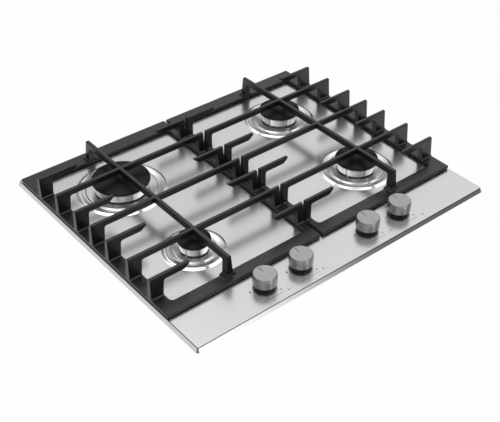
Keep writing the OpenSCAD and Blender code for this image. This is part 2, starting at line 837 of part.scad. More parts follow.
module burner_cup(i) {
    r = neck_r(i);
    top = crown_z;
    flange_z = platform_z - sheet_t - cup_flange_t;
    color("darkgray")
    translate([burner_pos[i][0], burner_pos[i][1], 0])
        difference() {
            union() {
                translate([0, 0, cup_bottom_z]) cylinder(r = r, h = top - cup_bottom_z);
                translate([0, 0, flange_z]) cylinder(r = r + cup_flange_w, h = cup_flange_t);
                translate([0, 0, cup_bottom_z - holder_drop])
                    cylinder(r = holder_r, h = holder_drop + over);
            }
            translate([0, 0, cup_bottom_z + cup_floor])
                cylinder(r = r - cup_wall, h = top - cup_bottom_z);
            translate([0, 0, cup_bottom_z - injector_foot])
                cylinder(r = injector_r + run_gap, h = cup_floor + injector_foot + over);
            translate([0, 0, pipe_drop_z - cup_way_r])
                cylinder(r = cup_way_r, h = cup_bottom_z - pipe_drop_z + cup_way_r);
            translate([0, -holder_r - over, pipe_drop_z]) rotate([-90, 0, 0])
                cylinder(r = pipe_r + run_gap, h = pipe_in + over);
            translate([0, pipe_in - holder_r - over, pipe_drop_z]) rotate([-90, 0, 0])
                cylinder(r = gas_way_r, h = holder_r - pipe_in + over);
            for (a = [screw_angle, screw_angle + 180])
                rotate([0, 0, a]) translate([r + screw_inset, 0, flange_z - over])
                    cylinder(r = burner_screw_r + run_gap, h = cup_flange_t + 2 * over);
            for (p = [[spark_angle, spark_r], [sensor_angle, sensor_r]])
                rotate([0, 0, p[0]]) translate([crown_seat_r(i) + probe_out, 0, flange_z - over])
                    cylinder(r = p[1] + probe_hole_gap, h = cup_flange_t + 2 * over);
        }
}

module at_burner_screws(i) {
    for (a = [screw_angle, screw_angle + 180])
        translate([burner_pos[i][0], burner_pos[i][1], 0])
            rotate([0, 0, a]) translate([neck_r(i) + screw_inset, 0, 0]) children();
}

module burner_screws() {
    color("darkgray")
    for (i = [0:3])
        at_burner_screws(i)
            translate([0, 0, platform_z]) rotate([0, -90, 0])
                pan_screw(burner_screw_r, burner_screw_len, burner_head_r, burner_head_h);
}

module injectors() {
    color("goldenrod")
    for (p = burner_pos)
        translate([p[0], p[1], cup_bottom_z - injector_foot])
            difference() {
                union() {
                    cylinder(r = injector_r, h = injector_foot + cup_floor);
                    cylinder(r = injector_r * head_taper_share, h = injector_h);
                }
                translate([0, 0, -over]) cylinder(r = gas_way_r, h = injector_h);
                cylinder(r = jet_r, h = injector_h + over);
            }
}

module at_probe(i, a) {
    translate([burner_pos[i][0], burner_pos[i][1], 0])
        rotate([0, 0, a]) translate([crown_seat_r(i) + probe_out, 0, 0]) children();
}

// Rod standing in the cup's flange, with a collar under it and a thin tip under the cap
module probe(r, tip_r, body_top) {
    flange_z = platform_z - sheet_t - cup_flange_t;
    translate([0, 0, flange_z - probe_below]) cylinder(r = r, h = body_top - flange_z + probe_below);
    translate([0, 0, flange_z - probe_collar_t]) cylinder(r = r + probe_collar_w, h = probe_collar_t);
    translate([0, 0, body_top]) cylinder(r = tip_r, h = cap_z - probe_tip_gap - body_top);
}

module spark_electrodes() {
    color("white")
    for (i = [0:3]) at_probe(i, spark_angle) probe(spark_r, spark_tip_r, plate_z + spark_body_top);
}

module flame_sensors() {
    color("chocolate")
    for (i = [0:3]) at_probe(i, sensor_angle) probe(sensor_r, sensor_tip_r, plate_z + spark_body_top);
}

// Directions of a crown's flame slots, which keep clear of its notches
function slot_angles(i) =
    let (
        slots = round(2 * PI * crown_top_r(i) / slot_pitch),
        clear = asin((spark_r + notch_gap + slot_w / 2 + slot_land) / crown_seat_r(i))
    )
    [for (s = [0:slots - 1])
        let (a = (s + 0.5) * 360 / slots)
        if (abs(a - spark_angle) > clear && abs(a - sensor_angle) > clear) a];

module burner_crown(i) {
    seat = crown_seat_r(i);
    top = crown_top_r(i);
    throat = neck_r(i) * throat_share;
    spigot = neck_r(i) - cup_wall - loose_gap;
    color("lightgray")
    translate([burner_pos[i][0], burner_pos[i][1], crown_z])
        difference() {
            union() {
                rotate_extrude()
                    polygon([
                        [throat, 0], [seat, 0], [top, crown_h], [top - crown_wall, crown_h],
                        [seat - crown_wall, crown_floor], [throat + throat_t, crown_floor],
                        [throat + throat_t, throat_h], [throat, throat_h]
                    ]);
                translate([0, 0, -spigot_h]) tube(spigot, spigot - spigot_t, spigot_h + crown_floor / 2);
            }
            for (a = slot_angles(i))
                rotate([0, 0, a])
                    translate([top - crown_wall - over, -slot_w / 2, crown_h - slot_h])
                        cube([crown_wall + 2 * over, slot_w, slot_h + over]);
            for (p = [[spark_angle, spark_r], [sensor_angle, sensor_r]])
                rotate([0, 0, p[0]]) translate([seat + probe_out, 0, -over])
                    cylinder(r = p[1] + notch_gap, h = crown_h + 2 * over);
        }
}

module burner_cap(i) {
    r = cap_radii[i];
    lip = crown_top_r(i) - crown_wall - loose_gap - crown_taper * lip_h / (crown_h - crown_floor);
    edge = r - cap_bevel;
    steps = 10;
    color("black")
    translate([burner_pos[i][0], burner_pos[i][1], cap_z])
        rotate_extrude()
            polygon(concat(
                [[0, cap_hollow_h], [lip - lip_t, cap_hollow_h], [lip - lip_t, -lip_h], [lip, -lip_h],
                 [lip, 0], [r - cap_bevel / 2, 0], [r, cap_bevel / 2], [r, cap_edge_h - cap_bevel]],
                [for (k = [0:steps])
                    let (s = 1 - k / steps) [edge * s, cap_edge_h + cap_dome_h * (1 - s * s)]]
            ));
}

// Half thicknesses of a fin or post against height: fillet, drafted sides and bevelled top
function drafted_section(base_t, top_t) =
    let (
        low = foot_t + frame_edge,
        n = 4,
        half = concat(
            [[base_t / 2 + root_r, low], [base_t / 2 + root_r, frame_top]],
            [for (k = [1:n])
                [base_t / 2 + root_r * (1 - sin(90 * k / n)), frame_top + root_r * (1 - cos(90 * k / n))]],
            [[top_t / 2, support_h - bar_edge], [top_t / 2 - bar_edge, support_h]]
        ),
        m = len(half)
    )
    concat(half, [for (k = [1:m]) [-half[m - k][0], half[m - k][1]]]);

// Outline in the x-z plane of an outer fin with its finger, whose tip is at x = tip
function outer_row(tip) =
    let (
        low = foot_t + frame_edge,
        face = support_out - fin_draft,
        inner = face - fin_w
    )
    [[support_out, low], [face, support_h], [tip, support_h], [tip, support_h - tip_h],
     [tip + tip_run, bar_z], [inner - knee, bar_z], [inner, bar_z - knee],
     [support_out - side_bar_w, frame_top], [support_out - side_bar_w, low]];

function inner_row(tip) =
    let (
        low = foot_t + frame_edge,
        face = support_in + fin_draft,
        inner = face + split_bar_w
    )
    [[support_in, low], [face, support_h], [tip, support_h], [tip, support_h - tip_h],
     [tip - tip_run, bar_z], [inner + knee, bar_z], [inner, bar_z - knee],
     [support_in + split_bar_w, frame_top], [support_in + split_bar_w, low]];

// Outline of a row that crosses from the split to the outer side
function long_row() =
    let (
        outer = outer_row(support_out),
        inner = inner_row(support_in)
    )
    [outer[0], outer[1], inner[1], inner[0], inner[8], inner[7], inner[6], inner[5],
     outer[5], outer[6], outer[7], outer[8]];

module row(outline) {
    intersection() {
        side_prism(outline, fin_base_t + 2 * root_r);
        cross_prism(drafted_section(fin_base_t, bar_top_t), 0, support_out + over);
    }
}

// Long bar over both burners, standing on the frame's front and back bars
module spine() {
    low = foot_t + frame_edge;
    front = support_front_y + post_setback;
    back = support_back_y - back_bar_w;
    outline = [
        [front, low], [front + post_lean, support_h], [back + post_back_t, support_h],
        [back + post_back_t + post_lean, low], [back, low], [back - post_lean / 2, bar_z - knee],
        [back - post_lean / 2 - knee, bar_z], [front + post_front_t + knee, bar_z],
        [front + post_front_t, bar_z - knee], [front + post_front_t - post_lean / 2, low]
    ];
    width = bar_base_t + 2 * root_r;
    translate([burner_x, 0, 0])
        intersection() {
            cross_prism(outline, -width / 2, width / 2);
            translate([0, (front + back) / 2, 0])
                side_prism(drafted_section(bar_base_t, bar_spine_t), back - front + 2 * support_h);
        }
    post_collar(front - collar_out, front + post_front_t);
    post_collar(back, back + post_back_t + post_lean + collar_out);
}

// Raised collar round a post's foot, from y = y0 to y = y1
module post_collar(y0, y1) {
    half = bar_base_t / 2 + root_r + collar_out;
    top = frame_top + collar_rise;
    low = foot_t + frame_edge;
    translate([burner_x, 0, 0])
        intersection() {
            translate([0, (y0 + y1) / 2, 0])
                side_prism([[-half, low], [half, low], [half, frame_top],
                            [half - collar_rise, top], [collar_rise - half, top], [-half, frame_top]],
                           y1 - y0);
            cross_prism([[y0, low], [y1, low], [y1, frame_top], [y1 - collar_rise / 2, top],
                         [y0 + collar_rise / 2, top], [y0, frame_top]], -half, half);
        }
}

// Square bar lying along Y, which cuts a bevel along an edge
module edge_cut(length) {
    side = frame_edge * sqrt(2);
    rotate([0, 45, 0]) cube([side, length + 2 * over, side], center = true);
}

module frame() {
    mid_x = (support_in + support_out) / 2;
    mid_y = (support_front_y + support_back_y) / 2;
    w = support_out - support_in;
    win_w = w - side_bar_w - split_bar_w;
    win_d = support_d - front_bar_w - back_bar_w;
    difference() {
        translate([mid_x, mid_y, foot_t]) rounded_slab(w, support_d, frame_corner_r, frame_t);
        translate([support_in + split_bar_w + win_w / 2, support_front_y + front_bar_w + win_d / 2, 0])
            rounded_slab(win_w, win_d, window_r, frame_top + over);
        for (x = [support_in, support_out]) translate([x, mid_y, frame_top]) edge_cut(support_d);
        for (y = [support_front_y, support_back_y])
            translate([mid_x, y, frame_top]) rotate([0, 0, 90]) edge_cut(w);
    }
}

module pan_support() {
    frame();
    spine();
    for (j = [0:len(row_ys) - 1])
        translate([0, row_ys[j], 0])
            if (row_is_long[j]) {
                row(long_row());
            } else {
                row(outer_row(support_out - outer_reach));
                row(inner_row(support_in + inner_reach));
            }
}

module pan_support_right() {
    color("dimgray") translate([0, 0, plate_z]) pan_support();
}

module pan_support_left() {
    color("dimgray") mirror([1, 0, 0]) translate([0, 0, plate_z]) pan_support();
}

// Rubber feet under the four corners of a pan support
module support_feet() {
    for (y = [support_front_y + pad_inset + pad_len / 2, support_back_y - pad_inset - pad_len / 2])
        for (x = [support_in + pad_inset + pad_w / 2, support_out - pad_inset - pad_w / 2])
            translate([x, y, 0]) rounded_slab(pad_w, pad_len, pad_corner_r, foot_t);
}

module support_feet_right() {
    color("black") translate([0, 0, plate_z]) support_feet();
}

module support_feet_left() {
    color("black") mirror([1, 0, 0]) translate([0, 0, plate_z]) support_feet();
}

module cable_grommet() {
    color("black")
    translate([grommet_x, box_d / 2 - box_t / 2, grommet_z]) rotate([-90, 0, 0])
        difference() {
            union() {
                translate([0, 0, -box_t / 2 - grommet_t]) cylinder(r = grommet_r, h = grommet_t);
                translate([0, 0, -box_t / 2]) cylinder(r = grommet_neck_r, h = box_t);
                translate([0, 0, box_t / 2]) cylinder(r = grommet_r, h = grommet_t);
            }
            translate([0, 0, -box_t / 2 - grommet_t - over])
                cylinder(r = grommet_back_r, h = box_t + 2 * grommet_t - grommet_lip + over);
            cylinder(r = grommet_hole_r, h = box_t / 2 + grommet_t + over);
        }
}

module terminal_block() {
    color("ivory")
    translate([grommet_x, terminal_y, box_t])
        difference() {
            translate([-terminal_w / 2, -terminal_d / 2, 0]) cube([terminal_w, terminal_d, terminal_h]);
            for (k = [0:terminal_ways - 1])
                translate([(k - (terminal_ways - 1) / 2) * terminal_pitch, -terminal_d / 2 - over,
                           terminal_h / 2])
                    rotate([-90, 0, 0]) cylinder(r = terminal_hole_r, h = terminal_d + 2 * over);
        }
}

module spark_generator() {
    color("white")
    translate([0, generator_y, box_t]) {
        intersection() {
            translate([-generator_w / 2, -generator_d / 2, 0])
                cube([generator_w, generator_d, generator_h]);
            side_prism([[-generator_w / 2, 0], [generator_w / 2, 0],
                        [generator_w / 2, generator_h - generator_bevel],
                        [generator_w / 2 - generator_bevel, generator_h],
                        [generator_bevel - generator_w / 2, generator_h],
                        [-generator_w / 2, generator_h - generator_bevel]], generator_d + 2 * over);
        }
        for (k = [0:generator_pins - 1])
            translate([(k - (generator_pins - 1) / 2) * generator_pin_pitch, 0, generator_h - over])
                cylinder(r = generator_pin_r, h = generator_pin_h + over);
    }
}

top_plate();
worktop_seal();
bottom_box();
box_screws();
clamp_brackets();
bracket_screws();
gas_manifold();
gas_inlet_elbow();
tap_rail();
tap_covers();
knob_collars();
injectors();
burner_screws();
spark_electrodes();
flame_sensors();
ignition_switches();
spark_generator();
terminal_block();
cable_grommet();
pan_support_left();
pan_support_right();
support_feet_left();
support_feet_right();
for (k = [0:3]) {
    gas_tap(k);
    tap_plug(k);
    tap_stem(k);
    knob(k);
    supply_pipe(k);
}
for (i = [0:3]) {
    burner_cup(i);
    burner_crown(i);
    burner_cap(i);
}
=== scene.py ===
import math

import bpy
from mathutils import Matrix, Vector


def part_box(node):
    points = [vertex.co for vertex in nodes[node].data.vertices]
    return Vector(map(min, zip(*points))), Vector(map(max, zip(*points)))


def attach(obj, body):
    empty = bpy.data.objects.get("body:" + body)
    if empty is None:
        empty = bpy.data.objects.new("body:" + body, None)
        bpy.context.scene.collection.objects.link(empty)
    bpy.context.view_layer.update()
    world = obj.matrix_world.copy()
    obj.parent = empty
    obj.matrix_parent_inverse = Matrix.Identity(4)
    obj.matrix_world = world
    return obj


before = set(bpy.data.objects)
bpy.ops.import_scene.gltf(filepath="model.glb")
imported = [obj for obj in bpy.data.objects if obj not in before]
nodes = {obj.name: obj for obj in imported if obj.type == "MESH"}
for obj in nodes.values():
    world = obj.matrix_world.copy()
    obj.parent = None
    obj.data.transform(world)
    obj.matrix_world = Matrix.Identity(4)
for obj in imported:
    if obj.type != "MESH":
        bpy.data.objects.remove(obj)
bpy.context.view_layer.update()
mm = 0.001
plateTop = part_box("knob_collars")[0].z
print("frame loaded:", len(nodes), "nodes")


# camera, at the place the photograph was taken from
cameraSettings = {
    "place": (-0.8189, -1.0102, 0.9962),
    "azimuth": -39.10,
    "elevation": 37.58,
    "lens": 68.92,
    "clipStart": 0.01,
}

camera = bpy.data.objects.new("camera", bpy.data.cameras.new("camera"))
camera.data.lens = cameraSettings["lens"]
camera.data.clip_start = cameraSettings["clipStart"]
camera.location = cameraSettings["place"]
camera.rotation_euler = (math.radians(90 - cameraSettings["elevation"]), 0,
                         math.radians(cameraSettings["azimuth"]))
bpy.context.scene.collection.objects.link(camera)
bpy.context.scene.camera = camera
bpy.context.scene.view_settings.view_transform = "Standard"
print("camera set")


# small helpers for shader trees
def addNode(tree, kind, **values):
    node = tree.nodes.new(kind)
    for name, value in values.items():
        if hasattr(node, name):
            setattr(node, name, value)
        else:
            node.inputs[name.replace("_", " ").title()].default_value = value
    return node


def newMaterial(name, colour, metallic, roughness):
    mat = bpy.data.materials.new(name)
    mat.use_nodes = True
    shader = mat.node_tree.nodes["Principled BSDF"]
    shader.inputs["Base Color"].default_value = (*colour, 1)
    shader.inputs["Metallic"].default_value = metallic
    shader.inputs["Roughness"].default_value = roughness
    return mat, mat.node_tree, shader


def noiseField(tree, scale, stretch=(1, 1, 1), detail=4, rough=0.6):
    # noise on the piece's own axes, in metres, so it moves with the piece
    place = addNode(tree, "ShaderNodeTexCoord")
    mapping = addNode(tree, "ShaderNodeMapping", Scale=stretch)
    noise = addNode(tree, "ShaderNodeTexNoise", Scale=scale, Detail=detail, Roughness=rough)
    tree.links.new(place.outputs["Object"], mapping.inputs["Vector"])
    tree.links.new(mapping.outputs["Vector"], noise.inputs["Vector"])
    return noise.outputs["Fac"]


def spread(tree, source, low, high, fromLow=0.3, fromHigh=0.7):
    node = addNode(tree, "ShaderNodeMapRange")
    node.inputs["From Min"].default_value = fromLow
    node.inputs["From Max"].default_value = fromHigh
    node.inputs["To Min"].default_value = low
    node.inputs["To Max"].default_value = high
    tree.links.new(source, node.inputs["Value"])
    return node.outputs["Result"]


def mixColours(tree, amount, first, second):
    node = addNode(tree, "ShaderNodeMix", data_type="RGBA")
    for socket, colour in ((node.inputs[6], first), (node.inputs[7], second)):
        if isinstance(colour, tuple):
            socket.default_value = (*colour, 1)
        else:
            tree.links.new(colour, socket)
    tree.links.new(amount, node.inputs[0])
    return node.outputs[2]


def mathNode(tree, operation, first, second=None):
    node = addNode(tree, "ShaderNodeMath", operation=operation)
    for socket, value in zip(node.inputs, (first, second)):
        if isinstance(value, (int, float)):
            socket.default_value = value
        elif value is not None:
            tree.links.new(value, socket)
    return node.outputs[0]


def mixShaders(tree, amount, first, second):
    node = addNode(tree, "ShaderNodeMixShader")
    for socket, source in zip(node.inputs, (amount, first.outputs[0], second.outputs[0])):
        tree.links.new(source, socket)
    return node


def bumpUp(tree, shader, height, strength, depth, edge=0):
    node = addNode(tree, "ShaderNodeBump")
    node.inputs["Strength"].default_value = strength
    node.inputs["Distance"].default_value = depth
    tree.links.new(height, node.inputs["Height"])
    if edge:
        soft = addNode(tree, "ShaderNodeBevel", samples=4, Radius=edge)
        tree.links.new(soft.outputs[0], node.inputs["Normal"])
    tree.links.new(node.outputs["Normal"], shader.inputs["Normal"])


# floor: the worktop's face round the cut-out that takes the box
floorSettings = {
    "size": 9.0,
    "cutOut": (0.560, 0.480),
    "height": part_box("worktop_seal")[0].z,
    "colour": (0.86, 0.86, 0.86),
    "whiteShare": 0.94,    # share of plain white that the camera and mirrors see over the shade
}


def makeFloor(s):
    half = s["size"] / 2
    cutX, cutY = s["cutOut"][0] / 2, s["cutOut"][1] / 2
    xs, ys = (-half, -cutX, cutX, half), (-half, -cutY, cutY, half)
    row = len(xs)
    points = [(x, y, s["height"]) for y in ys for x in xs]
    starts = [j * row + i for j in range(3) for i in range(3) if (i, j) != (1, 1)]
    mesh = bpy.data.meshes.new("floor")
    mesh.from_pydata(points, [], [(c, c + 1, c + row + 1, c + row) for c in starts])
    floor = bpy.data.objects.new("floor", mesh)
    bpy.context.scene.collection.objects.link(floor)
    mat = bpy.data.materials.new("floorWhite")
    mat.use_nodes = True
    tree = mat.node_tree
    tree.nodes.clear()
    rays = addNode(tree, "ShaderNodeLightPath")
    shaded = addNode(tree, "ShaderNodeBsdfDiffuse", Color=(*s["colour"], 1))
    white = addNode(tree, "ShaderNodeEmission", Color=(1, 1, 1, 1), Strength=1)
    seen = mathNode(tree, "MAXIMUM", rays.outputs["Is Camera Ray"], rays.outputs["Is Glossy Ray"])
    share = mathNode(tree, "MULTIPLY", seen, s["whiteShare"])
    out = addNode(tree, "ShaderNodeOutputMaterial")
    tree.links.new(mixShaders(tree, share, shaded, white).outputs[0], out.inputs["Surface"])
    mesh.materials.append(mat)


makeFloor(floorSettings)
print("floor made")


# studio: a pale surround that darkens to the horizon, with softboxes over and round the hob
studio = {
    "ambient": 0.60,
    "surround": 0.46,
    "horizon": (4, 30, 0.45),    # elevations between which it brightens, and its share below them
    # azimuth runs from +Y towards +X, and a patch fades out from its inner to its outer angle
    "shades": [
        {"azimuth": 148, "elevation": 34, "inner": 26, "outer": 56, "level": 0.80},
        {"azimuth": 118, "elevation": 0, "inner": 14, "outer": 30, "level": 0.60},
        {"azimuth": -42, "elevation": 30, "inner": 12, "outer": 32, "level": 0.75},
    ],
    "softboxes": [
        {"azimuth": 52, "elevation": 37, "inner": 6, "outer": 30, "level": 0.62},
        {"azimuth": 100, "elevation": 62, "inner": 6, "outer": 26, "level": 2.80},
        {"azimuth": 5, "elevation": 58, "inner": 8, "outer": 24, "level": 1.20},
        {"azimuth": 160, "elevation": 46, "inner": 5, "outer": 13, "level": 2.00},
        {"azimuth": 228, "elevation": 36, "inner": 8, "outer": 36, "level": 0.55},
        {"azimuth": 166, "elevation": 1, "inner": 8, "outer": 22, "level": 1.70},
    ],
    "lamps": [
        {"name": "overhead", "place": (-0.5, 0.5, 2.2), "aim": (0, 0, 0), "size": (2.0, 1.4),
         "power": 24},
    ],
}


def skyPatch(tree, place, patch, outside):
    az, el = math.radians(patch["azimuth"]), math.radians(patch["elevation"])
    dot = addNode(tree, "ShaderNodeVectorMath", operation="DOT_PRODUCT")
    dot.inputs[1].default_value = (math.sin(az) * math.cos(el), math.cos(az) * math.cos(el),
                                   math.sin(el))
    tree.links.new(place.outputs["Generated"], dot.inputs[0])
    edge = addNode(tree, "ShaderNodeMapRange", interpolation_type="SMOOTHSTEP")
    edge.inputs["From Min"].default_value = math.cos(math.radians(patch["outer"]))
    edge.inputs["From Max"].default_value = math.cos(math.radians(patch["inner"]))
    edge.inputs["To Min"].default_value = outside
    edge.inputs["To Max"].default_value = patch["level"]
    tree.links.new(dot.outputs["Value"], edge.inputs["Value"])
    return edge.outputs["Result"]


def makeWorld(s):
    world = bpy.data.worlds.new("studio")
    bpy.context.scene.world = world
    world.use_nodes = True
    tree = world.node_tree
    tree.nodes.clear()
    rays = addNode(tree, "ShaderNodeLightPath")
    place = addNode(tree, "ShaderNodeTexCoord")
    split = addNode(tree, "ShaderNodeSeparateXYZ")
    tree.links.new(place.outputs["Generated"], split.inputs[0])
    low, high, dim = s["horizon"]
    rise = spread(tree, split.outputs["Z"], dim, 1,
                  math.sin(math.radians(low)), math.sin(math.radians(high)))
    level = mathNode(tree, "MULTIPLY", rise, s["surround"])
    for patch in s["shades"]:
        level = mathNode(tree, "MULTIPLY", level, skyPatch(tree, place, patch, 1))
    for patch in s["softboxes"]:
        level = mathNode(tree, "ADD", level, skyPatch(tree, place, patch, 0))
    plain = addNode(tree, "ShaderNodeBackground", Color=(1, 1, 1, 1), Strength=s["ambient"])
    mirrored = addNode(tree, "ShaderNodeBackground", Color=(1, 1, 1, 1))
    white = addNode(tree, "ShaderNodeBackground", Color=(1, 1, 1, 1), Strength=1)
    tree.links.new(level, mirrored.inputs["Strength"])
    lit = mixShaders(tree, rays.outputs["Is Glossy Ray"], plain, mirrored)
    shown = mixShaders(tree, rays.outputs["Is Camera Ray"], lit, white)
    out = addNode(tree, "ShaderNodeOutputWorld")
    tree.links.new(shown.outputs[0], out.inputs["Surface"])


def makeLamps(lamps):
    for lamp in lamps:
        data = bpy.data.lights.new(lamp["name"], "AREA")
        data.shape = "RECTANGLE"
        data.size, data.size_y = lamp["size"]
        data.energy = lamp["power"]
        light = bpy.data.objects.new(lamp["name"], data)
        light.location = lamp["place"]
        beam = Vector(lamp["aim"]) - Vector(lamp["place"])
        light.rotation_euler = beam.to_track_quat("-Z", "Y").to_euler()
        bpy.context.scene.collection.objects.link(light)


makeWorld(studio)
makeLamps(studio["lamps"])
print("studio lit")


# finishes
roughnessRange = {    # how far the grain takes each kind's roughness down and up
    "brushed": (0.02, 0.02),
    "cast": (0.06, 0.06),
    "metal": (0.05, 0.07),
    "galvanised": (0.08, 0.08),
}


def varyRoughness(tree, source, s, kind, *ends):
    down, up = roughnessRange[kind]
    return spread(tree, source, s["roughness"] - down, s["roughness"] + up, *ends)


def edgeDistance(tree, halfX, halfY):
    # how far a point lies outside a rectangle about the middle, in metres
    place = addNode(tree, "ShaderNodeTexCoord")
    split = addNode(tree, "ShaderNodeSeparateXYZ")
    tree.links.new(place.outputs["Object"], split.inputs[0])
    outX = mathNode(tree, "SUBTRACT", mathNode(tree, "ABSOLUTE", split.outputs[0]), halfX)
    outY = mathNode(tree, "SUBTRACT", mathNode(tree, "ABSOLUTE", split.outputs[1]), halfY)
    return mathNode(tree, "MAXIMUM", outX, outY)


def brushedSteel(name, s):
    mat, tree, shader = newMaterial(name, s["light"], 1, s["roughness"])
    shader.inputs["Anisotropic"].default_value = s["anisotropic"]
    across = addNode(tree, "ShaderNodeTangent", direction_type="RADIAL", axis="X")
    tree.links.new(across.outputs[0], shader.inputs["Tangent"])
    lines = noiseField(tree, 1, s["grain"], detail=5, rough=0.7)
    clouds = noiseField(tree, s["cloudScale"], detail=2)
    both = mathNode(tree, "MULTIPLY", spread(tree, lines, 0, 1),
                    spread(tree, clouds, s["cloudLow"], 1))
    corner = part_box("top_plate")[1]
    out = edgeDistance(tree, corner.x - s["rimLean"], corner.y - s["rimLean"])
    # painted shade: a dark line laid into the steel's colour along the bend where the rim's bevel
    # turns down
    bendShade = spread(tree, mathNode(tree, "ABSOLUTE", out), 1, 0, s["bendHalf"], 2 * s["bendHalf"])
    sheet = mixColours(tree, both, s["dark"], s["light"])
    tree.links.new(mixColours(tree, bendShade, sheet, s["bendShadeColour"]), shader.inputs["Base Color"])
    grained = varyRoughness(tree, lines, s, "brushed")
    polished = spread(tree, out, 1, s["rimPolish"], 0, s["bendHalf"])
    tree.links.new(mathNode(tree, "MULTIPLY", grained, polished), shader.inputs["Roughness"])
    bumpUp(tree, shader, lines, s["bump"], s["bumpDepth"])
    return mat


def addGrain(tree, shader, s, kind, detail):
    grain = noiseField(tree, s["grain"], detail=detail)
    patches = noiseField(tree, s["patches"], detail=2)
    tint = mixColours(tree, spread(tree, patches, 0, 1), s["dark"], s["light"])
    tree.links.new(tint, shader.inputs["Base Color"])
    tree.links.new(varyRoughness(tree, grain, s, kind), shader.inputs["Roughness"])
    bumpUp(tree, shader, grain, s["bump"], s["bumpDepth"], s.get("edge", 0))


def castSurface(name, s):
    mat, tree, shader = newMaterial(name, s["light"], 0, s["roughness"])
    shader.inputs["Specular IOR Level"].default_value = s["specular"]
    addGrain(tree, shader, s, "cast", 3)
    return mat


def metalSurface(name, s):
    mat, tree, shader = newMaterial(name, s["light"], 1, s["roughness"])
    addGrain(tree, shader, s, "metal", 4)
    return mat


def galvanisedSheet(name, s):
    mat, tree, shader = newMaterial(name, s["light"], 1, s["roughness"])
    place = addNode(tree, "ShaderNodeTexCoord")
    cells = addNode(tree, "ShaderNodeTexVoronoi", Scale=s["spangle"])
    tree.links.new(place.outputs["Object"], cells.inputs["Vector"])
    tint = addNode(tree, "ShaderNodeSeparateColor")
    tree.links.new(cells.outputs["Color"], tint.inputs[0])
    sheet = mixColours(tree, tint.outputs[0], s["dark"], s["light"])
    tree.links.new(sheet, shader.inputs["Base Color"])
    tree.links.new(varyRoughness(tree, tint.outputs[1], s, "galvanised", 0, 1),
                   shader.inputs["Roughness"])
    bumpUp(tree, shader, noiseField(tree, s["grain"]), s["bump"], s["bumpDepth"])
    return mat


